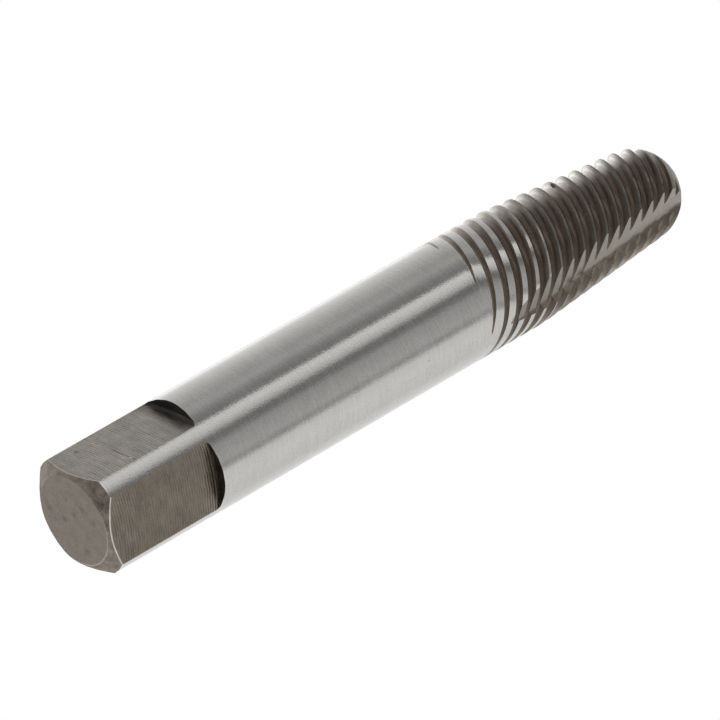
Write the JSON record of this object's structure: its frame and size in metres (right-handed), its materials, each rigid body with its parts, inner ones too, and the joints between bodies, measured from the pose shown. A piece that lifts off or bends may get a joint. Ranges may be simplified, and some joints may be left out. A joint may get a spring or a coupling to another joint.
{
  "type": "screw extractor",
  "caption": "Screw extractor: a round steel tool with a driving square at one end and a tapered left-hand spiral at the other, for backing out broken screws and bolts.",
  "frame": {"origin": "centre of the flat round face at the square end, on the tool's axis", "axes": "+Z along the tool's axis from the square end to the spiral nose; +X and +Y are the outward normals of two neighbouring flats of the driving square"},
  "size_m": [0.0112, 0.0112, 0.071],
  "materials": {
    "ground_steel": "ground shank, milled flats on the square, darker cut flanks in the spiral"
  },
  "bodies": {
    "root": {"extractor": "ground_steel"}
  },
  "joints": []
}
